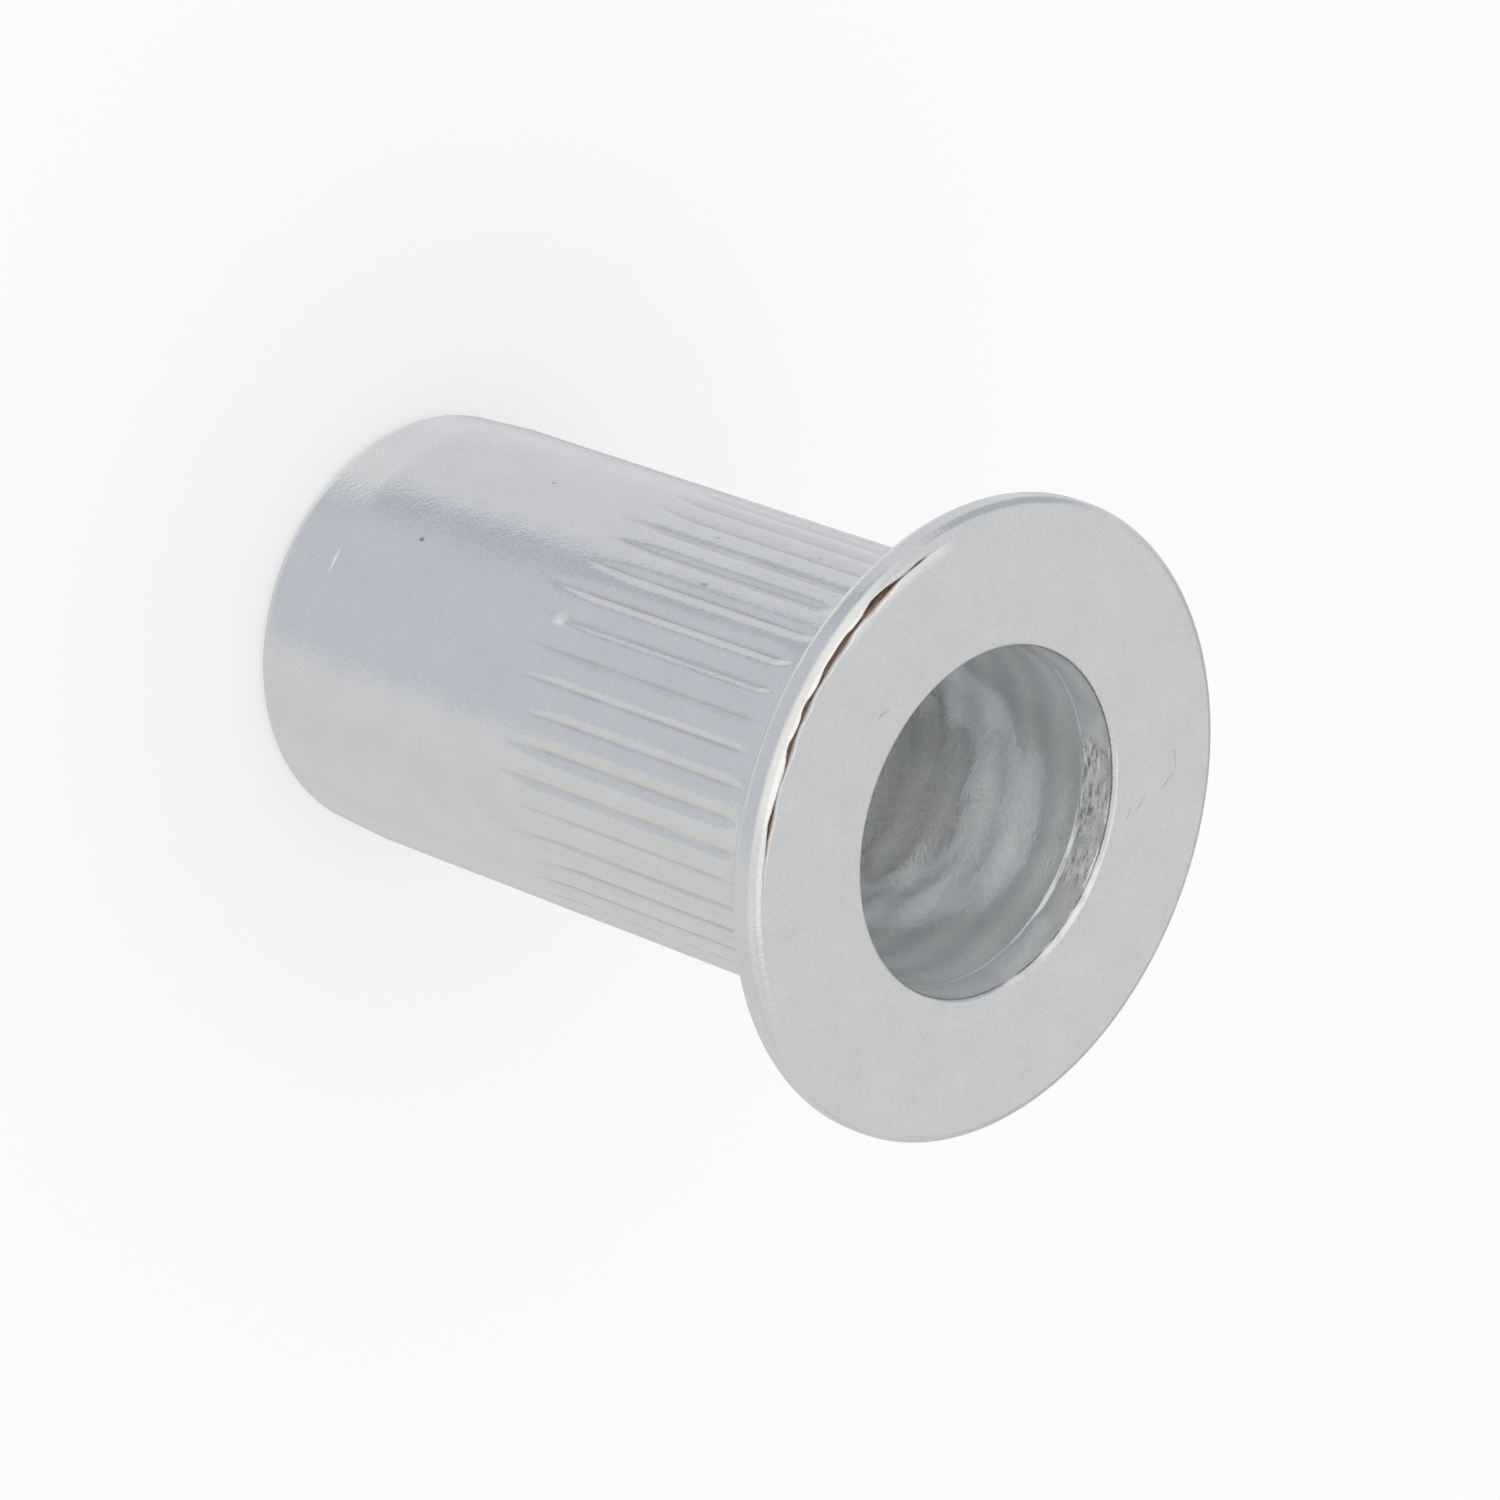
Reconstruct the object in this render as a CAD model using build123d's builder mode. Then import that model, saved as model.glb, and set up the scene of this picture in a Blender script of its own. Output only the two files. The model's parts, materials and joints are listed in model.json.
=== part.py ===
from build123d import *
from math import radians, tan
import os

# Blind rivet nut with an open end: a flat flange, a shank with a straight knurl and a thin
# wall that folds into a bulge when the nut is set, and a metric thread in the tail half.
# It is cold formed and tapped from one blank, so it is one solid.
# The Z axis is the nut's own axis. The tail end stands on z = 0, and the flange is on top.
# Lengths are millimetres, and angles are degrees from the axis.

# Overall sizes
overall_length = 16.5
flange_diameter = 13.0
flange_thickness = 0.7
shank_diameter = 9.0

# Rolled corners
flange_edge_radius = 0.25
flange_root_radius = 0.2
mouth_edge_radius = 0.12
tail_edge_radius = 0.3

# Tail: a slight taper that guides the nut into the hole in the sheet
tail_taper_length = 1.65
tail_taper_depth = 0.1

# Thin wall: from the flange's face down to the cone that leads into the thread
wall_thickness = 1.0
wall_depth = 7.4
cone_angle = 45.0

# Mouth: the bore is a step wider through the flange
mouth_depth = 0.8
mouth_step = 0.05
mouth_step_angle = 45.0

# Thread: its hole is modelled at the minor diameter, with a countersink at the tail
thread_diameter = 6.0
thread_pitch = 1.0
thread_minor_factor = 1.0825
countersink_clearance = 0.1
countersink_angle = 45.0

# Straight knurl: V grooves along the shank that fade out at both ends
groove_count = 42
groove_depth = 0.08
groove_width = 0.22
knurl_length = 6.55
knurl_to_flange = 1.75
fade_to_flange = 0.5
fade_to_tail = 1.5
cutter_clearance = 0.1

# Radii
flange_radius = flange_diameter / 2
shank_radius = shank_diameter / 2
tail_radius = shank_radius - tail_taper_depth
wall_radius = shank_radius - wall_thickness
mouth_radius = wall_radius + mouth_step
thread_radius = (thread_diameter - thread_minor_factor * thread_pitch) / 2
countersink_radius = thread_diameter / 2 + countersink_clearance

# Heights above the tail end
flange_underside = overall_length - flange_thickness
mouth_bottom = overall_length - mouth_depth
step_bottom = mouth_bottom - mouth_step / tan(radians(mouth_step_angle))
wall_bottom = overall_length - wall_depth
thread_top = wall_bottom - (wall_radius - thread_radius) / tan(radians(cone_angle))
thread_bottom = (countersink_radius - thread_radius) / tan(radians(countersink_angle))
knurl_top = flange_underside - knurl_to_flange
knurl_bottom = knurl_top - knurl_length

# The groove cutter starts and ends clear of the shank, so it is larger than its groove
groove_floor = shank_radius - groove_depth
cutter_radius = shank_radius + cutter_clearance
cutter_depth = groove_depth + cutter_clearance
cutter_half_width = groove_width / 2 * cutter_depth / groove_depth
overrun_to_flange = fade_to_flange * cutter_clearance / groove_depth
overrun_to_tail = fade_to_tail * cutter_clearance / groove_depth

# One groove's cutter: a V that runs along the shank and climbs out of it at both ends
with BuildPart() as groove_cutter:
    with BuildLine():
        cutter_path = Polyline(
            (cutter_radius, 0, knurl_bottom - overrun_to_tail),
            (groove_floor, 0, knurl_bottom + fade_to_tail),
            (groove_floor, 0, knurl_top - fade_to_flange),
            (cutter_radius, 0, knurl_top + overrun_to_flange),
        )
    with BuildSketch(Plane(cutter_path @ 0, x_dir=(0, -1, 0), z_dir=cutter_path % 0)):
        Polygon(
            (0, 0),
            (cutter_half_width, cutter_depth),
            (-cutter_half_width, cutter_depth),
            align=None,
        )
    sweep(transition=Transition.RIGHT)

with BuildPart() as rivet_nut:
    # Half section, from the tail's rim up the outside and down the bore
    with BuildSketch(Plane.XZ):
        with BuildLine():
            Polyline(
                (tail_radius, 0),
                (shank_radius, tail_taper_length),
                (shank_radius, flange_underside),
                (flange_radius, flange_underside),
                (flange_radius, overall_length),
                (mouth_radius, overall_length),
                (mouth_radius, mouth_bottom),
                (wall_radius, step_bottom),
                (wall_radius, wall_bottom),
                (thread_radius, thread_top),
                (thread_radius, thread_bottom),
                (countersink_radius, 0),
                close=True,
            )
        make_face()
    revolve(axis=Axis.Z)

    # Rolled corners, each ring found by its height and its distance from the axis
    rings = rivet_nut.edges().filter_by(GeomType.CIRCLE)
    flange_rings = rings.group_by(SortBy.RADIUS)[-1]
    flange_root = rings.group_by(SortBy.RADIUS)[-2].sort_by(Axis.Z)[-1]
    mouth_ring = rings.group_by(Axis.Z)[-1].sort_by(SortBy.RADIUS)[0]
    tail_ring = rings.group_by(Axis.Z)[0].sort_by(SortBy.RADIUS)[-1]
    fillet(flange_rings, radius=flange_edge_radius)
    fillet(flange_root, radius=flange_root_radius)
    fillet(mouth_ring, radius=mouth_edge_radius)
    fillet(tail_ring, radius=tail_edge_radius)

    with PolarLocations(0, groove_count):
        add(groove_cutter.part, mode=Mode.SUBTRACT)

rivet_nut.part.label = "rivet_nut"

os.makedirs("parts", exist_ok=True)
export_step(rivet_nut.part, "parts/rivet_nut.step")
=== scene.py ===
import json
from collections import namedtuple
from math import cos, pi, radians, sin

import bpy
import numpy as np
from mathutils import Matrix, Vector, noise


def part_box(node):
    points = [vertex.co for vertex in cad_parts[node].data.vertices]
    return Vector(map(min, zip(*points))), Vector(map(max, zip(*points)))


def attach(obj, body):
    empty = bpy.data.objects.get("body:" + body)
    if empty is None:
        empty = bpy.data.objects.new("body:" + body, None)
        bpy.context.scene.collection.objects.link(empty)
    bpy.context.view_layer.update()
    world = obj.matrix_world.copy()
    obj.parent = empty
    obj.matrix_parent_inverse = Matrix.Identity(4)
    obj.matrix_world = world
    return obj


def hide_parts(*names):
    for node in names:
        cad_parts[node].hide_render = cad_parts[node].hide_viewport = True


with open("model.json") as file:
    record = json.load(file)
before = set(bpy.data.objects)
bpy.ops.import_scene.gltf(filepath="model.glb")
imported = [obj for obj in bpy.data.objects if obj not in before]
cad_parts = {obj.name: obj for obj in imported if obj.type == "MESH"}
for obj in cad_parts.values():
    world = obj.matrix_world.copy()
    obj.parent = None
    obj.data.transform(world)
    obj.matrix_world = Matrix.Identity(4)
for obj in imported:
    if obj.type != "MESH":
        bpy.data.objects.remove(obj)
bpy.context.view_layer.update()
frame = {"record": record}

# The rivet nut's visible skin, its metal, and a plain white studio round it.
# Everything is in metres in the CAD model's frame: the tail stands on z = 0, the flange is on top.
# Names in capitals are chosen here; the others are read from the frame or worked out.

MM = 0.001
RANDOM_SEED = 11

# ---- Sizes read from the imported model

mounts = {mount["name"]: mount for mount in frame["record"]["mounts"]}


def mount_radius(name):
    return mounts[name]["dims"]["r_mm"] * MM


def mount_ends(name):
    """Lowest and highest z of a mount's wall."""
    middle = mounts[name]["pos_m"][2]
    half = mounts[name]["dims"]["length_mm"] * MM / 2
    return middle - half, middle + half


_, nut_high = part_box("rivet_nut")
top = nut_high.z
flange_radius = nut_high.x
flange_bottom = mounts["flange_underside"]["pos_m"][2]
shank_radius = mount_radius("shank")
taper_top, neck_top = mount_ends("shank")
wall_radius = mount_radius("wall_bore")
thread_minor = mount_radius("thread")
_, thread_top = mount_ends("thread")

# ---- Sizes that only the looks need

# Edges
RIM_RADIUS = 0.25 * MM
TAIL_EDGE = 0.3 * MM
TAIL_TAPER = 0.1 * MM
MOUTH_EDGE = 0.12 * MM
MOUTH_DEPTH = 0.8 * MM
# How much wider the mouth is than the bore below it
MOUTH_STEP = 0.05 * MM

root_radius = flange_bottom - neck_top
mouth_radius = wall_radius + MOUTH_STEP
step_bottom = top - MOUTH_DEPTH - MOUTH_STEP

# Thread, M6 x 1, with the flats of the metric profile as shares of the pitch
PITCH = 1.0 * MM
THREAD_MAJOR = 3.0 * MM
COUNTERSINK_RADIUS = 3.1 * MM
CREST_FLAT = 0.25
ROOT_FLAT = 0.125

thread_depth = THREAD_MAJOR - thread_minor
cone_top = thread_top + wall_radius - thread_minor
cone_foot = thread_top + thread_depth

# Knurl: the shoulder and the root say how softly a groove begins and how round it ends, as
# shares of its half width, and a groove that fades narrows to a share of its width
GROOVE_COUNT = 42
GROOVE_DEPTH = 0.095 * MM
GROOVE_HALF_WIDTH = 0.18 * MM
GROOVE_SHOULDER = 0.14
GROOVE_ROOT = 0.2
GROOVE_NARROWEST = 0.45
KNURL_BOTTOM = 7.5 * MM
KNURL_TOP = 14.05 * MM
FADE_TO_TAIL = 1.3 * MM
FADE_TO_FLANGE = 0.45 * MM
FADE_POWER = 0.8

# No two grooves of a rolled knurl are quite alike: the spread of their ends and of their sideways
# shift in millimetres, and of their depth as a share
START_SPREAD = (-0.45, 0.35)
END_SPREAD = (-0.12, 0.12)
FORCE_SPREAD = (0.78, 1.08)
SHIFT_SPREAD = (-0.02, 0.02)

# ---- Where the rows and columns of points lie

# How far a row of points lies from the corner that it keeps sharp
CORNER = 0.03 * MM

# Shares of the way along a straight stretch of the outline
TAPER_ROWS = (0.03, 0.3, 0.6, 0.85, 1.0)
UNDERSIDE_ROWS = (0.05, 0.15, 0.5, 0.85, 0.97)
RIM_ROWS = (0.1, 0.5, 0.9)
MOUTH_ROWS = (0.05, 0.3, 0.55, 0.78, 0.97)
CONE_ROWS = (0.0, 0.04, 0.1, 0.5, 0.9, 1.0)

# Steps round an edge
TAIL_STEPS = 9
ROOT_STEPS = 6
RIM_STEPS = 8

# Columns across a groove, from its middle; one more lies in the middle of each land
GROOVE_COLUMNS = np.array([-0.25, -0.19, -0.13, -0.08, -0.035, 0, 0.035, 0.08, 0.13, 0.19, 0.25]) * MM

# The bore is turned from fewer columns than the knurl
BORE_SHARE = 3

# Rows of the flat ends: in from the tail's edge, in from the rim, out from the mouth's edge, out
# from the countersink
TAIL_ROW = 0.2 * MM
FACE_ROW = 2.0 * MM
MOUTH_MARGINS = (0.18 * MM, 0.02 * MM)
COUNTERSINK_MARGINS = (0.3 * MM, 0.02 * MM)

# The wall of the bore, between the step and the cone
WALL_ROWS = 9
BELOW_STEP = 0.4 * MM
ABOVE_CONE = 0.3 * MM

# Where the countersink's edge is broken, and so where the thread's grid starts
COUNTERSINK_BREAK = 0.01 * MM
THREAD_START = 0.015 * MM

# Rows across a turn of the thread: at each side of a corner and on the flank, in shares of the pitch
THREAD_CORNER = 0.03
FLANK_ROW = 0.28
# Rows this near to an end of the thread's grid merge with it
THREAD_SNAP = 0.02 * MM

# ---- Marks of use and making, with painted shade, painted highlights and painted glints

# Each is a share from 0 to 1 at every point of the skin
MARKS = ("grime", "worn", "scuffed", "nicked")

# Painted shade at the thread's root and a painted highlight on its crests; what a cone has cut counts as
# this deep
THREAD_SHADE = 0.3
THREAD_HIGHLIGHT = 0.9
CUT_DEPTH = 0.5

# Painted shade along the middle of each groove, and how far the rolled skin waves
GROOVE_SHADE = 0.16
GROOVE_SHADE_WIDTH = 0.036 * MM
SHADE_PATCHINESS = 0.6
SKIN_WAVE_DEPTH = 0.003 * MM

# The mouth, which tools have nicked on one side, with painted shade on that side and a painted highlight
# beside it
NICKED_FROM, NICKED_TO = radians(86), radians(124)
MOUTH_BRIGHT_FROM, MOUTH_BRIGHT_TO = radians(38), radians(84)
MOUTH_SHADE_FROM, MOUTH_SHADE_TO = radians(90), radians(114)
MOUTH_FADE = radians(10)
MOUTH_SHADE = 0.06
# How strong the painted highlight is on each row of the mouth's edge, from the face inwards
MOUTH_BRIGHT_SHARES = (0, 0, 0.2, 0.6, 1, 1, 1)
# The painted highlight is patchy: its mean, and how far it swings either way
PATCH_MEAN = 0.5
PATCH_SWING = 1.5

# The step below the mouth, which is broad on one side, with a painted highlight there, and thin beside it
STEP_BRIGHT_FROM, STEP_BRIGHT_TO = radians(74), radians(98)
STEP_FROM, STEP_TO = radians(38), radians(150)
STEP_FADE = radians(20)
STEP_BRIGHT = 0.8
# Shares of the step's full width: beside the broad side, more of it there in a patch, and least
STEP_THIN = 0.21
STEP_PATCH = 0.28
STEP_THINNEST = 0.05
# Down to this share of its depth the mouth is straight, then it leans in to the step
MOUTH_STRAIGHT = 0.2

# The crease where the rolled edge folds onto the face, on one side; painted shade darkens it where it gapes
EDGE_ARC_END = 55
CREASE_MIDDLE = radians(-101)
CREASE_SPAN = radians(30)
CREASE_FADE = radians(7)
CREASE_INSET = 0.02 * MM
CREASE_DEPTH = 0.12 * MM
CREASE_HALF_WIDTH = 0.048 * MM
# Its width varies, as shares of that one: the mean, how far it swings, the least and the most
CREASE_MEAN = 0.95
CREASE_SWING = 1.3
CREASE_NARROWEST, CREASE_WIDEST = 0.45, 1.6
# How far it gapes in the middle, and how fast it closes to each side
CREASE_GAPE = 1.2
CREASE_SLOPE = 0.9
# Its rings, in half widths from its middle: how near they come where it is closed, and at the rim
CREASE_OFFSETS = (2.6, 1.9, 1.3, 0.9, 0.5, 0.0, -0.5, -0.9, -1.3, -1.9, -2.6)
CREASE_CLOSED = 0.6
CREASE_GAP = 0.012 * MM

# A flat strip inside the crease with a painted highlight: azimuths, and rows in from the rim with how
# strong the painted highlight is on each
STRIP_FROM, STRIP_TO = radians(-136), radians(-116)
STRIP_FADE = radians(7)
STRIP_ROWS = ((0.41 * MM, 0.9), (0.47 * MM, 0.5), (0.55 * MM, 0.0), (1.1 * MM, 0.0), (1.7 * MM, 0.0))

# The rounded edge outside the crease, which has a painted highlight too, and how strong it is on each of
# its rows
LIP_FROM, LIP_TO = radians(-117), radians(-80)
LIP_FADE = radians(9)
LIP_SHARES = (0, 0, 0.1, 0.4, 0.8, 1, 1, 1, 1)

# Unevenness in lumps of a size, each kind from its own place in the noise
Lumps = namedtuple("Lumps", "size place")
SKIN_LUMPS = Lumps(2.2 * MM, 3.0)
SHADE_LUMPS = Lumps(0.7 * MM, 31.0)
MOUTH_LUMPS = Lumps(0.4 * MM, 41.0)
CREASE_LUMPS = Lumps(0.45 * MM, 9.0)
# The crease wanders off its circle in lumps of two sizes, each this far
CREASE_WANDER = ((Lumps(0.5 * MM, 21.0), 0.04 * MM), (Lumps(1.6 * MM, 5.0), 0.05 * MM))

# The two finishes of the plate, by their place in the skin's material slots
OUTSIDE = 0
IN_THE_BORE = 1


# ---- Shape


def smooth(low, high, x):
    """0 below low, 1 above high, with an even turn between them."""
    t = np.clip((x - low) / (high - low), 0, 1)
    return t * t * (3 - 2 * t)


def within(phi, start, end, fade):
    """1 for azimuths between start and end, 0 beyond the fade at each side."""
    middle = (start + end) / 2
    away = np.abs(np.angle(np.exp(1j * (phi - middle))))
    half = (end - start) / 2
    return smooth(half + fade, half, away)


def wobble(phi, z, lumps):
    """Soft noise round the nut's skin at height z, about -1 to 1."""
    across = shank_radius * np.cos(phi) / lumps.size + lumps.place
    along = shank_radius * np.sin(phi) / lumps.size
    return np.array([noise.noise((x, y, z / lumps.size)) for x, y in zip(across, along)])


def arc(centre, radius, start, end, steps):
    """Points (r, z) along an arc; the angles are in degrees above the outward direction."""
    angles = np.radians(np.linspace(start, end, steps + 1))
    return [(centre[0] + radius * cos(a), centre[1] + radius * sin(a)) for a in angles]


def run(start, end, places):
    """Points (r, z) at these shares of the way from start to end."""
    return [
        (start[0] + (end[0] - start[0]) * t, start[1] + (end[1] - start[1]) * t)
        for t in places
    ]


def ring(radius, height, phi):
    """Points at these azimuths; the radius and the height are one for all or one for each."""
    return np.column_stack(
        [radius * np.cos(phi), radius * np.sin(phi), np.broadcast_to(height, phi.shape)]
    )


# Columns of the outer skin, close together across each groove, and of the bore
spacing = 2 * pi * shank_radius / GROOVE_COUNT
columns = np.append(GROOVE_COLUMNS, spacing / 2)
column_offset = np.tile(columns, GROOVE_COUNT)
column_groove = np.repeat(np.arange(GROOVE_COUNT), len(columns))
outer_phi = (column_groove * spacing + column_offset) / shank_radius
bore_count = len(outer_phi) // BORE_SHARE
bore_phi = outer_phi[0] + 2 * pi * np.arange(bore_count) / bore_count

rng = np.random.default_rng(RANDOM_SEED)
groove_start = rng.uniform(*START_SPREAD, GROOVE_COUNT) * MM
groove_end = rng.uniform(*END_SPREAD, GROOVE_COUNT) * MM
groove_force = rng.uniform(*FORCE_SPREAD, GROOVE_COUNT)
groove_shift = rng.uniform(*SHIFT_SPREAD, GROOVE_COUNT) * MM

# Where the marks, the painted shade and the painted highlights lie round the nut
strip_highlight = within(outer_phi, STRIP_FROM, STRIP_TO, STRIP_FADE)
lip_highlight = within(outer_phi, LIP_FROM, LIP_TO, LIP_FADE)
mouth_patches = np.clip(PATCH_MEAN + PATCH_SWING * wobble(bore_phi, top, MOUTH_LUMPS), 0, 1)
mouth_bright = within(bore_phi, MOUTH_BRIGHT_FROM, MOUTH_BRIGHT_TO, MOUTH_FADE) * mouth_patches
mouth_shade = within(bore_phi, MOUTH_SHADE_FROM, MOUTH_SHADE_TO, MOUTH_FADE) * MOUTH_SHADE
mouth_nicked_and_glinting = within(bore_phi, NICKED_FROM, NICKED_TO, MOUTH_FADE)
step_bright = within(bore_phi, STEP_BRIGHT_FROM, STEP_BRIGHT_TO, MOUTH_FADE)


class Skin:
    """Collects rings of points and the faces between them."""

    def __init__(self):
        self.points = []
        self.faces = []
        self.finishes = []
        self.finish = OUTSIDE
        self.marks = {name: [] for name in MARKS}

    def add(self, points, **marks):
        """Adds a ring of points with what marks it, and returns their numbers."""
        first = len(self.points)
        self.points.extend(points)
        for name, values in self.marks.items():
            values.extend(np.broadcast_to(marks.get(name, 0.0), len(points)))
        return np.arange(first, first + len(points))

    def face(self, *corners):
        self.faces.append([int(corner) for corner in corners])
        self.finishes.append(self.finish)

    def join(self, a, b):
        """Faces between two rings with as many points each."""
        for i in range(len(a)):
            k = (i + 1) % len(a)
            self.face(a[i], a[k], b[k], b[i])

    def join_all(self, rings):
        for a, b in zip(rings, rings[1:]):
            self.join(a, b)

    def narrow(self, wide, few, flip=False):
        """Faces between a ring of many points and one with BORE_SHARE times fewer."""
        for i in range(len(few)):
            k = (i + 1) % len(few)
            middle = [wide[(BORE_SHARE * i + j) % len(wide)] for j in range(BORE_SHARE + 1)]
            corners = [*middle, few[k], few[i]]
            self.face(*(reversed(corners) if flip else corners))

    def build(self, name):
        """The object of all that was collected, with its marks as attributes of the points."""
        mesh = bpy.data.meshes.new(name)
        mesh.from_pydata([tuple(point) for point in self.points], [], self.faces)
        mesh.update()
        for mark, values in self.marks.items():
            attribute = mesh.attributes.new(mark, "FLOAT", "POINT")
            attribute.data.foreach_set("value", np.array(values, np.float32))
        mesh.polygons.foreach_set("material_index", np.array(self.finishes, np.int32))
        mesh.shade_smooth()
        made = bpy.data.objects.new(name, mesh)
        bpy.context.scene.collection.objects.link(made)
        return made


def tail_rows():
    """The tail's flat end, its rounded edge and the taper above it."""
    lean = np.arctan2(TAIL_TAPER, taper_top)
    middle = shank_radius - TAIL_TAPER - TAIL_EDGE * (1 - sin(lean)) / cos(lean)
    rows = [(middle - TAIL_ROW, 0.0), (middle - CORNER, 0.0)]
    rows += arc((middle, TAIL_EDGE), TAIL_EDGE, -90, -np.degrees(lean), TAIL_STEPS)
    taper_start = (middle + TAIL_EDGE * cos(lean), TAIL_EDGE * (1 - sin(lean)))
    return rows + run(taper_start, (shank_radius, taper_top), TAPER_ROWS)


def shank_rows():
    """The shank and its neck, with rows close together where the grooves start and end."""
    # The lowest and highest row of each stretch, and how many it has
    stretches = [
        (taper_top + 0.25 * MM, taper_top + 0.7 * MM, 2),
        (taper_top + 1.4 * MM, KNURL_BOTTOM - 0.6 * MM, 7),
        (KNURL_BOTTOM - 0.45 * MM, KNURL_BOTTOM + 1.65 * MM, 22),
        (KNURL_BOTTOM + 2.0 * MM, KNURL_TOP - 0.7 * MM, 12),
        (KNURL_TOP - 0.6 * MM, KNURL_TOP + 0.1 * MM, 11),
        (KNURL_TOP + 0.3 * MM, neck_top - 0.05 * MM, 5),
    ]
    return [
        (shank_radius, z) for low, high, count in stretches for z in np.linspace(low, high, count)
    ]


def rim_rows():
    """The root of the flange, its underside, its lower edge and its side."""
    root = (shank_radius + root_radius, neck_top)
    middle = (flange_radius - RIM_RADIUS, flange_bottom + RIM_RADIUS)
    rows = arc(root, root_radius, 180, 90, ROOT_STEPS)
    rows += run((root[0], flange_bottom), (middle[0], flange_bottom), UNDERSIDE_ROWS)
    rows += arc(middle, RIM_RADIUS, -90, 0, RIM_STEPS)
    rows += run((flange_radius, middle[1]), (flange_radius, top - RIM_RADIUS), RIM_ROWS)
    return rows


def groove_share(z):
    """How far each column's groove is cut at height z, from 0 where it has faded out to 1."""
    start = KNURL_BOTTOM + groove_start[column_groove]
    end = KNURL_TOP + groove_end[column_groove]
    share = np.clip((z - start) / FADE_TO_TAIL, 0, 1) ** FADE_POWER
    return share * np.clip((end - z) / FADE_TO_FLANGE, 0, 1) ** FADE_POWER


def groove_cut(share):
    """How deep each column lies below the lands."""
    away = np.sqrt((column_offset / GROOVE_HALF_WIDTH) ** 2 + GROOVE_ROOT**2)
    width = GROOVE_NARROWEST + (1 - GROOVE_NARROWEST) * share
    profile = np.logaddexp(0, (1 - away / width) / GROOVE_SHOULDER) * GROOVE_SHOULDER
    return GROOVE_DEPTH * groove_force[column_groove] * share * profile


def add_outer_row(skin, r, z):
    """One ring of the outer skin, with the grooves and the painted shade along their middles."""
    if not taper_top < z < neck_top:
        return skin.add(ring(r, z, outer_phi))
    share = groove_share(z)
    phi = outer_phi + groove_shift[column_groove] / shank_radius
    wave = SKIN_WAVE_DEPTH * (1 + wobble(phi, z, SKIN_LUMPS))
    patchy = 1 + SHADE_PATCHINESS * wobble(phi, z, SHADE_LUMPS)
    # A dark line of painted shade along the middle of each groove
    grime = GROOVE_SHADE * share * patchy * np.exp(-((column_offset / GROOVE_SHADE_WIDTH) ** 2))
    return skin.add(ring(r - groove_cut(share) - wave, z, phi), grime=grime)


def edge_height(radius):
    """Height of the rounded edge and the face at a distance from the axis."""
    over = np.clip(radius - (flange_radius - RIM_RADIUS), 0, RIM_RADIUS)
    return top - RIM_RADIUS + np.sqrt(RIM_RADIUS**2 - over**2)


def add_crease(skin):
    """Rings across the crease, from the lip inwards; away from the crease they lie on the edge."""
    share = within(outer_phi, CREASE_MIDDLE - CREASE_SPAN, CREASE_MIDDLE + CREASE_SPAN, CREASE_FADE)
    path = sum(wobble(outer_phi, top, lumps) * reach for lumps, reach in CREASE_WANDER)
    line = flange_radius - RIM_RADIUS - CREASE_INSET + path * share
    width = CREASE_MEAN + CREASE_SWING * wobble(outer_phi, top, CREASE_LUMPS)
    width = share * np.clip(width, CREASE_NARROWEST, CREASE_WIDEST)
    spread = CREASE_HALF_WIDTH * (CREASE_CLOSED + (1 - CREASE_CLOSED) * width)
    # No ring of the crease may pass the end of the rounded edge, nor the ring outside it
    limit = flange_radius - RIM_RADIUS * (1 - cos(radians(EDGE_ARC_END)))
    rings = []
    for offset in CREASE_OFFSETS:
        limit -= CREASE_GAP
        radius = np.minimum(line + offset * spread, limit)
        gape = np.clip(CREASE_GAPE * width - CREASE_SLOPE * abs(offset), 0, 1)
        # Where the crease gapes it gets painted shade, and where it is closed a painted highlight
        worn = (lip_highlight if offset > 0 else strip_highlight) * (1 - gape)
        height = edge_height(radius) - CREASE_DEPTH * gape
        rings.append(skin.add(ring(radius, height, outer_phi), grime=gape, worn=worn))
    return rings


def add_outside(skin):
    """From the tail's flat end up to the outer part of the face; gives its first and last ring."""
    rings = [add_outer_row(skin, r, z) for r, z in tail_rows() + shank_rows() + rim_rows()]
    lip = arc(
        (flange_radius - RIM_RADIUS, top - RIM_RADIUS), RIM_RADIUS, 0, EDGE_ARC_END, len(LIP_SHARES) - 1
    )
    # A painted highlight on the rounded edge
    for share, (r, z) in zip(LIP_SHARES, lip):
        rings.append(skin.add(ring(r, z, outer_phi), worn=lip_highlight * share))
    rings += add_crease(skin)
    # A painted highlight on the strip inside the crease
    for inset, share in STRIP_ROWS:
        rings.append(skin.add(ring(flange_radius - inset, top, outer_phi), worn=strip_highlight * share))
    skin.join_all(rings)
    return rings[0], rings[-1]


def add_face(skin, outer_ring):
    """The inner part of the face and the rounded edge of the mouth; gives the last ring."""
    edge = mouth_radius + MOUTH_EDGE
    radii = [flange_radius - FACE_ROW, *(edge + margin for margin in MOUTH_MARGINS)]
    rings = [skin.add(ring(r, top, bore_phi)) for r in radii]
    skin.narrow(outer_ring, rings[0])
    rows = arc((edge, top - MOUTH_EDGE), MOUTH_EDGE, 90, 180, len(MOUTH_BRIGHT_SHARES) - 1)
    # The mouth's edge gets painted shade on the nicked side and a patchy painted highlight beside it
    for share, (r, z) in zip(MOUTH_BRIGHT_SHARES, rows):
        rings.append(skin.add(ring(r, z, bore_phi), grime=mouth_shade, scuffed=mouth_bright * share))
    skin.join_all(rings)
    return rings[-1]


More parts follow.
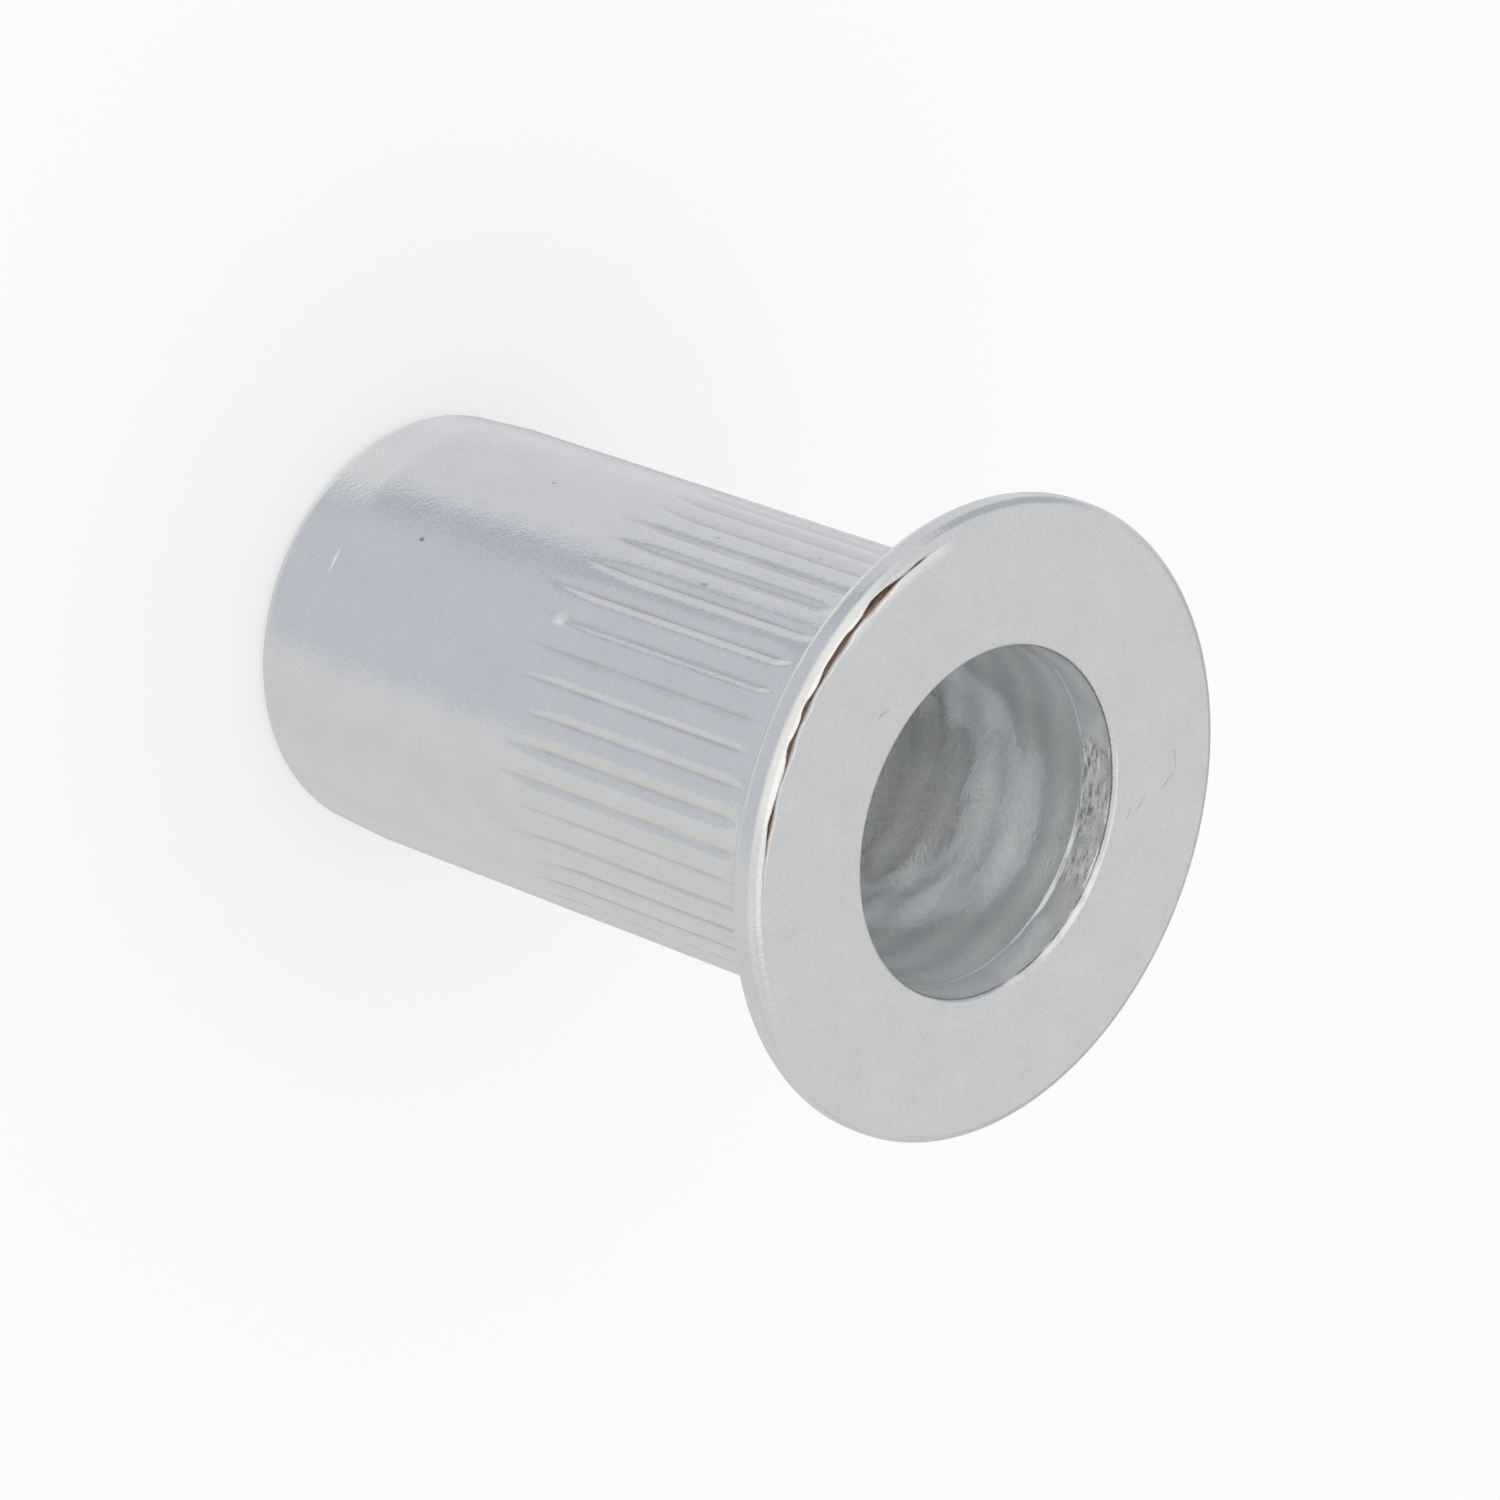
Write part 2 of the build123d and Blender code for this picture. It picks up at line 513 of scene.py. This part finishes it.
def add_wall(skin, edge_ring):
    """The mouth, the step below it, the wall of the bore and the cone; gives the last ring."""
    # The step is broad on one side, where it carries a painted highlight, is a thin line beside it and
    # fades out
    thin = (STEP_THIN + STEP_PATCH * mouth_patches) * within(bore_phi, STEP_FROM, STEP_TO, STEP_FADE)
    width = MOUTH_STEP * np.clip(thin + step_bright, STEP_THINNEST, 1)
    step_top = step_bottom + width
    rings = [edge_ring]
    for share in MOUTH_ROWS:
        radius = mouth_radius - (MOUTH_STEP - width) * smooth(MOUTH_STRAIGHT, 1, share)
        height = (top - MOUTH_EDGE) * (1 - share) + step_top * share
        rings.append(skin.add(ring(radius, height, bore_phi), nicked=mouth_nicked_and_glinting))
    # A painted highlight on the step's broad side
    scuffed = STEP_BRIGHT * step_bright
    rings.append(
        skin.add(ring(wall_radius + width, step_top, bore_phi), scuffed=scuffed, nicked=mouth_nicked_and_glinting)
    )
    rings.append(skin.add(ring(wall_radius, step_bottom, bore_phi), scuffed=scuffed))

    rows = [(wall_radius, step_bottom - CORNER)]
    rows += [
        (wall_radius, z) for z in np.linspace(step_bottom - BELOW_STEP, cone_top + ABOVE_CONE, WALL_ROWS)
    ]
    rows.append((wall_radius, cone_top + CORNER))
    rows += run((wall_radius, cone_top), (THREAD_MAJOR, cone_foot), CONE_ROWS)
    rings += [skin.add(ring(r, z, bore_phi)) for r, z in rows]
    skin.join_all(rings)
    return rings[-1]


def thread_radius(phase):
    """Radius of the metric profile at a share of the pitch, from the middle of a crest."""
    away = np.abs((phase + 0.5) % 1 - 0.5)
    flank = (1 - ROOT_FLAT - CREST_FLAT) / 2
    return thread_minor + thread_depth * np.clip((away - CREST_FLAT / 2) / flank, 0, 1)


def thread_phases():
    """Rows of one turn as shares of the pitch, at each side of every corner of the profile."""
    crest, root = CREST_FLAT / 2, 0.5 - ROOT_FLAT / 2
    c = THREAD_CORNER
    down = [crest - c, crest + c, FLANK_ROW, root - c, root + c]
    return [0.0, *down, *(1 - phase for phase in reversed(down))]


def add_thread(skin, low_ring, high_ring):
    """The thread, on a grid that climbs with it, between the flat rings below and above it."""
    phases = thread_phases()
    turns = int((cone_foot - THREAD_START) / PITCH) + 3
    levels = np.array([turn - 1 + phase for turn in range(turns + 1) for phase in phases])
    numbers = np.empty((len(levels), bore_count), int)
    cut = thread_radius(levels)
    for j, phi in enumerate(bore_phi):
        z = THREAD_START + (levels + j / bore_count) * PITCH
        # The cone above and the countersink below end the thread
        ends = np.maximum(thread_minor + z - thread_top, COUNTERSINK_RADIUS - z)
        radius = np.minimum(np.maximum(cut, ends), wall_radius)
        depth = np.where(radius > cut, CUT_DEPTH, (cut - thread_minor) / thread_depth)
        points = np.column_stack([radius * cos(phi), radius * sin(phi), z])
        below, above = z < THREAD_START + THREAD_SNAP, z > cone_foot - THREAD_SNAP
        own = ~(below | above)
        numbers[:, j] = np.where(below, low_ring[j], high_ring[j])
        # Painted shade at the thread's root and a painted highlight on its crests
        numbers[own, j] = skin.add(
            points[own], grime=THREAD_SHADE * depth[own], worn=THREAD_HIGHLIGHT * (1 - depth[own])
        )

    # Past the last column comes the first one again, a turn higher
    seam = np.append(numbers[len(phases):, 0], np.full(len(phases), high_ring[0]))
    numbers = np.column_stack([numbers, seam])
    for i in range(len(levels) - 1):
        for j in range(bore_count):
            corners = [numbers[i, j], numbers[i + 1, j], numbers[i + 1, j + 1], numbers[i, j + 1]]
            corners = [a for k, a in enumerate(corners) if a != corners[k - 1]]
            if len(set(corners)) == len(corners) and len(corners) > 2:
                skin.face(*corners)


def build_nut():
    skin = Skin()
    tail_ring, outer_ring = add_outside(skin)
    edge_ring = add_face(skin, outer_ring)
    skin.finish = IN_THE_BORE
    cone_ring = add_wall(skin, edge_ring)

    # The tail's flat end, and the countersink's broken edge where the thread's grid starts
    tail_end = [
        skin.add(ring(COUNTERSINK_RADIUS + margin, 0.0, bore_phi)) for margin in COUNTERSINK_MARGINS
    ]
    low_ring = skin.add(ring(COUNTERSINK_RADIUS - COUNTERSINK_BREAK, THREAD_START, bore_phi))
    skin.finish = OUTSIDE
    skin.narrow(tail_ring, tail_end[0], flip=True)
    skin.join_all([low_ring, *reversed(tail_end)])
    skin.finish = IN_THE_BORE
    add_thread(skin, low_ring, cone_ring)
    return skin.build("rivet_nut_skin")


# ---- Nodes


class Nodes:
    """The node tree of a material or world, with short names for what is used often."""

    def __init__(self, owner):
        owner.use_nodes = True
        self.tree = owner.node_tree
        self.tree.nodes.clear()

    def add(self, kind, inputs=None, **settings):
        """Adds a node with its settings, and links or sets its inputs, by name or number."""
        made = self.tree.nodes.new(kind)
        for name, value in settings.items():
            setattr(made, name, value)
        for name, value in (inputs or {}).items():
            socket = made.inputs[name]
            if isinstance(value, bpy.types.NodeSocket):
                self.tree.links.new(value, socket)
            else:
                socket.default_value = value
        return made

    def math(self, operation, *values):
        return self.add("ShaderNodeMath", dict(enumerate(values)), operation=operation).outputs[0]

    def vector(self, operation, *values, output="Vector"):
        made = self.add("ShaderNodeVectorMath", dict(enumerate(values)), operation=operation)
        return made.outputs[output]

    def noise(self, place, scale, detail):
        inputs = {"Vector": place, "Scale": scale, "Detail": detail}
        return self.add("ShaderNodeTexNoise", inputs).outputs["Fac"]

    def spread(self, value, low, high, to_low=0.0, to_high=1.0, **settings):
        """Maps low to high onto to_low to to_high."""
        inputs = {"Value": value, "From Min": low, "From Max": high, "To Min": to_low, "To Max": to_high}
        return self.add("ShaderNodeMapRange", inputs, **settings).outputs[0]

    def over(self, colour, tint, share):
        """Lays a tint over a colour."""
        colours = {"Factor": share, 6: colour, 7: (*tint, 1)}
        return self.add("ShaderNodeMix", colours, data_type="RGBA").outputs[2]


# ---- Finish

# Sizes of the plate's texture, in lumps to the metre
CLOUD_SCALE = 1100.0
GRAIN_SCALE = 15000.0
RIPPLE_SCALE = 1400.0
NICK_SCALE = 8500.0
TURNING_SCALE = 330.0
# Nicks are long round the bore and short along it
NICK_STRETCH = (0.35, 0.7, 1.4)
NICK_RELIEF = 0.026 * MM

# The tone is part cloud and part grain; these tones show as the darkest and the lightest
CLOUD_PART = 0.4
TONES = (0.35, 0.65)

# Over which span of the clouds' noise a mark comes up, and from and to what strength
HIGHLIGHT_CLOUDS = (0.3, 0.6, 0.5, 1.0)
NICK_CLOUDS = (0.4, 0.55)
# Over which span of the nicks' noise painted glints come up, and over which dirt does
NICK_GLINTS = (0.55, 0.58)
NICK_DIRT = (0.46, 0.4)
# A little painted shade tints, and much of it blackens
SHADE_TINTS = (0.0, 0.5)
SHADE_BLACKENS = (0.35, 1.0)

# Colours of the painted highlight and the painted glints, then of the nicks' dirt and of the black of
# painted shade
HIGHLIGHT_COLOUR = (0.83, 0.82, 0.795)
GLINT_COLOUR = (1.0, 1.0, 0.98)
GLINT_ROUGHNESS = 0.5
NICK_COLOUR = (0.42, 0.4, 0.4)
SHADE_BLACK = (0.09, 0.06, 0.05)

# Single marks on the shank, the bright ones painted glints: azimuth in degrees, then height, half length up
# the nut and half width round it in millimetres, and the colour that shows
DARK_SPECK = (0.16, 0.12, 0.11)
FAINT_SPECK = (0.38, 0.35, 0.35)
# A painted glint
GLINT_SPECK = (1.0, 0.97, 0.88)
SPECKS = [
    (250, 3.5, 0.08, 0.07, DARK_SPECK),
    (258, 8.0, 0.22, 0.16, GLINT_SPECK),
    (263, 1.6, 0.05, 0.3, GLINT_SPECK),
    (317, 12.2, 0.12, 0.07, FAINT_SPECK),
    (236, 10.7, 0.12, 0.06, FAINT_SPECK),
    (213, 12.2, 0.12, 0.05, FAINT_SPECK),
    (219, 9.8, 0.1, 0.05, FAINT_SPECK),
    (219, 5.1, 0.08, 0.05, FAINT_SPECK),
]
# Where a speck ends and where it is full, in its own half widths with the grain's noise added
SPECK_EDGE = (1.6, 0.7)
SPECK_STRENGTH = 0.85

# Short scratches on the flange's face: x and y of both ends in millimetres
SCRATCHES = [
    ((-1.2, 4.1), (-1.6, 4.2)),
    ((-1.0, 3.9), (-1.2, 3.9)),
    ((-2.3, 4.8), (-2.6, 4.6)),
    ((-1.8, 4.6), (-2.2, 4.8)),
    ((-1.2, -4.2), (-1.4, -4.0)),
]
SCRATCH_HALF_WIDTH = 0.025 * MM
SCRATCH_COLOUR = (0.3, 0.28, 0.3)
SCRATCH_STRENGTH = 0.5

# A finish: its darkest and lightest tone, the tint of its painted shade and painted bands, its roughness,
# how metallic it is, the relief of its grain, ripple and turning marks, and how strongly the painted bands
# along the turning marks show
Finish = namedtuple(
    "Finish", "dark light dirt smoothest roughest metallic grain_relief ripple_relief turned stain"
)
# Outside the plate is bright; in the bore it is thinner and duller, over the marks of turning, and its
# colour is painted lighter to stand in for the light that reaches into the bore
BRIGHT_PLATE = Finish(
    dark=(0.62, 0.625, 0.63), light=(0.68, 0.685, 0.685), dirt=(0.33, 0.24, 0.19),
    smoothest=0.09, roughest=0.14, metallic=1.0,
    grain_relief=0.007 * MM, ripple_relief=0.006 * MM, turned=0.0, stain=0.0,
)
LIGHTENED_BORE_PLATE = Finish(
    dark=(0.845, 0.86, 0.865), light=(0.975, 0.98, 0.98), dirt=(0.3, 0.34, 0.38),
    smoothest=0.05, roughest=0.1, metallic=0.55,
    grain_relief=0.003 * MM, ripple_relief=0.014 * MM, turned=0.005 * MM, stain=0.23,
)


def lay_specks(nodes, colour, place, grain):
    """Ragged spots on the shank; the bright ones are painted glints."""
    for azimuth, height, half_length, half_width, tint in SPECKS:
        angle = radians(azimuth)
        centre = Vector((shank_radius * cos(angle), shank_radius * sin(angle), height * MM))
        scale = (1 / (half_width * MM), 1 / (half_width * MM), 1 / (half_length * MM))
        away = nodes.vector("MULTIPLY", nodes.vector("SUBTRACT", place, centre), scale)
        ragged = nodes.math("ADD", nodes.vector("LENGTH", away, output="Value"), grain)
        colour = nodes.over(colour, tint, nodes.spread(ragged, *SPECK_EDGE, 0.0, SPECK_STRENGTH))
    return colour


def lay_scratches(nodes, colour, place, grain):
    """Fine ragged lines on the face."""
    for start, end in SCRATCHES:
        first = Vector((*start, 0)) * MM
        along = Vector((*end, 0)) * MM - first
        offset = nodes.vector("SUBTRACT", place, first + Vector((0, 0, top)))
        # How far along the scratch the nearest place on it lies, as a share of its length
        reach = nodes.vector("DOT_PRODUCT", offset, along / along.length_squared, output="Value")
        nearest = nodes.add(
            "ShaderNodeVectorMath", {0: along, "Scale": nodes.spread(reach, 0, 1)}, operation="SCALE"
        ).outputs[0]
        away = nodes.vector("DISTANCE", offset, nearest, output="Value")
        ragged = nodes.math("MULTIPLY_ADD", grain, 2 * SCRATCH_HALF_WIDTH, away)
        share = nodes.spread(ragged, 2 * SCRATCH_HALF_WIDTH, SCRATCH_HALF_WIDTH, 0.0, SCRATCH_STRENGTH)
        colour = nodes.over(colour, SCRATCH_COLOUR, share)
    return colour


def zinc(name, finish):
    """Zinc plate: satin, faintly mottled, with a fine grain, a slow ripple, turning marks and wear, and
    with painted shade, painted highlights, painted glints and painted bands.
    """
    material = bpy.data.materials.new(name)
    nodes = Nodes(material)
    place = nodes.add("ShaderNodeTexCoord").outputs["Object"]
    grime, worn, scuffed, nicked = (
        nodes.add("ShaderNodeAttribute", attribute_name=mark).outputs["Fac"] for mark in MARKS
    )

    cloud = nodes.noise(place, CLOUD_SCALE, detail=3.0)
    grain = nodes.noise(place, GRAIN_SCALE, detail=2.0)
    ripple = nodes.noise(place, RIPPLE_SCALE, detail=1.0)
    nicks = nodes.noise(nodes.vector("MULTIPLY", place, NICK_STRETCH), NICK_SCALE, detail=3.0)
    turning = nodes.add(
        "ShaderNodeTexWave",
        {"Vector": place, "Scale": TURNING_SCALE, "Distortion": 2.5, "Detail": 2.0, "Detail Scale": 0.8},
        bands_direction="Z",
    ).outputs["Fac"]
    tone = nodes.math("MULTIPLY_ADD", cloud, CLOUD_PART, nodes.math("MULTIPLY", grain, 1 - CLOUD_PART))
    nicked = nodes.math("MULTIPLY", nicked, nodes.spread(cloud, *NICK_CLOUDS))
    # Bright flecks in the nicks are painted glints; the nicks' relief and dirt are real
    nick_glints = nodes.math("MULTIPLY", nodes.spread(nicks, *NICK_GLINTS), nicked)
    scuffed = nodes.math("MAXIMUM", scuffed, nick_glints)

    colour = nodes.over((*finish.dark, 1), finish.light, nodes.spread(tone, *TONES))
    # Darker painted bands along the turning marks stand in for reflected bands
    colour = nodes.over(colour, finish.dirt, nodes.math("MULTIPLY", turning, finish.stain))
    # Painted highlight, patchy with the clouds
    worn = nodes.math("MULTIPLY", worn, nodes.spread(cloud, *HIGHLIGHT_CLOUDS))
    colour = nodes.over(colour, HIGHLIGHT_COLOUR, worn)
    # Painted glints
    colour = nodes.over(colour, GLINT_COLOUR, scuffed)
    dirty = nodes.math("MULTIPLY", nodes.spread(nicks, *NICK_DIRT), nicked)
    colour = nodes.over(colour, NICK_COLOUR, dirty)
    colour = lay_specks(nodes, colour, place, grain)
    colour = lay_scratches(nodes, colour, place, grain)
    # Painted shade: a little of it tints, much of it blackens
    colour = nodes.over(colour, finish.dirt, nodes.spread(grime, *SHADE_TINTS))
    colour = nodes.over(colour, SHADE_BLACK, nodes.spread(grime, *SHADE_BLACKENS))

    height = nodes.math(
        "ADD",
        nodes.math("MULTIPLY", grain, finish.grain_relief),
        nodes.math("MULTIPLY", ripple, finish.ripple_relief),
    )
    height = nodes.math("MULTIPLY_ADD", nodes.math("MULTIPLY", nicks, nicked), NICK_RELIEF, height)
    height = nodes.math("MULTIPLY_ADD", turning, finish.turned, height)
    bump = nodes.add("ShaderNodeBump", {"Height": height, "Strength": 1.0, "Distance": 1.0})
    gloss = nodes.spread(tone, *TONES, finish.smoothest, finish.roughest)
    surface = nodes.add(
        "ShaderNodeBsdfPrincipled",
        {
            "Base Color": colour,
            "Metallic": finish.metallic,
            "Roughness": nodes.math("MULTIPLY_ADD", scuffed, GLINT_ROUGHNESS, gloss),
            "Normal": bump.outputs[0],
        },
    )
    nodes.add("ShaderNodeOutputMaterial", {"Surface": surface.outputs[0]})
    return material


# ---- Studio

# The room seen by the metal, a white tent. Each panel is a band of azimuths and a band of
# elevations, in degrees, with the width over which each side fades, and its colour.
ROOM = (0.86, 0.865, 0.88)
PANELS = [
    # azimuth from, to, fade from, fade to, elevation from, to, fade, colour
    (126, 207, 30, 9, -62, 0, 20, (0.845, 0.85, 0.89)),
    (-153, -53, 9, 7, -62, -14, 12, (0.745, 0.773, 0.83)),
    (-154, -139, 7, 24, -62, -14, 12, (0.57, 0.62, 0.69)),
    (-25, 32, 20, 20, -75, 0, 20, (0.84, 0.835, 0.825)),
    (32, 73, 20, 20, -75, 0, 20, (0.77, 0.77, 0.77)),
    (68, 114, 34, 30, -75, 20, 20, (0.61, 0.61, 0.62)),
    (135, 185, 14, 14, -25, 30, 14, (0.6, 0.62, 0.68)),
    (130, 215, 20, 14, -88, -50, 10, (1.01, 1.01, 1.01)),
    (-160, -20, 20, 20, -5, 75, 15, (0.97, 0.97, 0.97)),
    (-200, 200, 10, 10, 62, 120, 16, (1.18, 1.18, 1.18)),
]


def band(nodes, value, low, high, fade_low, fade_high):
    """1 where an angle lies between low and high, in degrees, with a soft fade at each end."""
    rise = nodes.spread(
        value, radians(low - fade_low / 2), radians(low + fade_low / 2), interpolation_type="SMOOTHSTEP"
    )
    fall = nodes.spread(
        value, radians(high + fade_high / 2), radians(high - fade_high / 2), interpolation_type="SMOOTHSTEP"
    )
    return nodes.math("MULTIPLY", rise, fall)


def light_room():
    """The room, by the direction that a ray leaves in; the camera itself sees plain white."""
    world = bpy.data.worlds.new("studio")
    nodes = Nodes(world)
    look = nodes.add("ShaderNodeTexCoord").outputs["Generated"]
    elevation = nodes.math("ARCSINE", nodes.add("ShaderNodeSeparateXYZ", {0: look}).outputs["Z"])
    colour = (*ROOM, 1)
    for start, end, fade_start, fade_end, low, high, fade, tint in PANELS:
        # Azimuth is counted from the panel's middle, so that it never wraps within the panel
        turned = nodes.add(
            "ShaderNodeVectorRotate", {"Vector": look, "Angle": -radians((start + end) / 2)},
            rotation_type="Z_AXIS",
        ).outputs[0]
        flat = nodes.add("ShaderNodeSeparateXYZ", {0: turned}).outputs
        azimuth = nodes.math("ARCTAN2", flat["Y"], flat["X"])
        half = (end - start) / 2
        share = nodes.math(
            "MULTIPLY",
            band(nodes, azimuth, -half, half, fade_start, fade_end),
            band(nodes, elevation, low, high, fade, fade),
        )
        colour = nodes.over(colour, tint, share)
    room = nodes.add("ShaderNodeBackground", {"Color": colour, "Strength": 1.0})
    white = nodes.add("ShaderNodeBackground", {"Color": (1, 1, 1, 1), "Strength": 1.0})
    seen = nodes.add("ShaderNodeLightPath").outputs["Is Camera Ray"]
    both = nodes.add("ShaderNodeMixShader", {0: seen, 1: room.outputs[0], 2: white.outputs[0]})
    nodes.add("ShaderNodeOutputWorld", {"Surface": both.outputs[0]})
    bpy.context.scene.world = world


FLOOR_SIZE = 4.0
FLOOR_COLOUR = 0.5


def lay_floor():
    """A plain pale floor that renders white and keeps the nut's shadow."""
    mesh = bpy.data.meshes.new("floor")
    half = FLOOR_SIZE / 2
    corners = [(-half, -half, 0), (half, -half, 0), (half, half, 0), (-half, half, 0)]
    mesh.from_pydata(corners, [], [(0, 1, 2, 3)])
    floor = bpy.data.objects.new("floor", mesh)
    bpy.context.scene.collection.objects.link(floor)
    material = bpy.data.materials.new("floor")
    nodes = Nodes(material)
    matte = nodes.add("ShaderNodeBsdfDiffuse", {"Color": (FLOOR_COLOUR, FLOOR_COLOUR, FLOOR_COLOUR, 1)})
    # The camera sees what the matte floor lacks to white
    seen = nodes.add("ShaderNodeLightPath").outputs["Is Camera Ray"]
    strength = nodes.math("MULTIPLY", seen, 1 - FLOOR_COLOUR)
    glow = nodes.add("ShaderNodeEmission", {"Color": (1, 1, 1, 1), "Strength": strength})
    both = nodes.add("ShaderNodeAddShader", {0: matte.outputs[0], 1: glow.outputs[0]})
    nodes.add("ShaderNodeOutputMaterial", {"Surface": both.outputs[0]})
    mesh.materials.append(material)
    floor.visible_glossy = False


# ---- Camera

CAMERA_LENS = 180.0
CAMERA_ELEVATION = 41.57
CAMERA_ROLL = 109.72
CAMERA_DISTANCE = 149.7 * MM
CAMERA_AIM = Vector((0.226 * MM, 0.0, 9.968 * MM))
CAMERA_NEAR = 0.01
CAMERA_FAR = 10


def place_camera():
    """The camera looks along +Y and down at the nut, and is rolled so that the nut seems to lie."""
    data = bpy.data.cameras.new("camera")
    data.lens = CAMERA_LENS
    data.clip_start = CAMERA_NEAR
    data.clip_end = CAMERA_FAR
    camera = bpy.data.objects.new("camera", data)
    bpy.context.scene.collection.objects.link(camera)
    down, roll = radians(CAMERA_ELEVATION), radians(CAMERA_ROLL)
    forward = Vector((0, cos(down), -sin(down)))
    level_right, level_up = Vector((1, 0, 0)), Vector((0, sin(down), cos(down)))
    right = cos(roll) * level_right + sin(roll) * level_up
    up = -sin(roll) * level_right + cos(roll) * level_up
    place = CAMERA_AIM - CAMERA_DISTANCE * forward
    camera.matrix_world = Matrix([*zip(right, up, -forward, place), (0, 0, 0, 1)])
    bpy.context.scene.camera = camera


# ---- The nut in its studio

nut = build_nut()
nut.data.materials.append(zinc("zinc_outside", BRIGHT_PLATE))
nut.data.materials.append(zinc("zinc_in_the_bore", LIGHTENED_BORE_PLATE))
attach(nut, "root")
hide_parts("rivet_nut")

light_room()
lay_floor()
place_camera()
bpy.context.scene.view_settings.view_transform = "Standard"
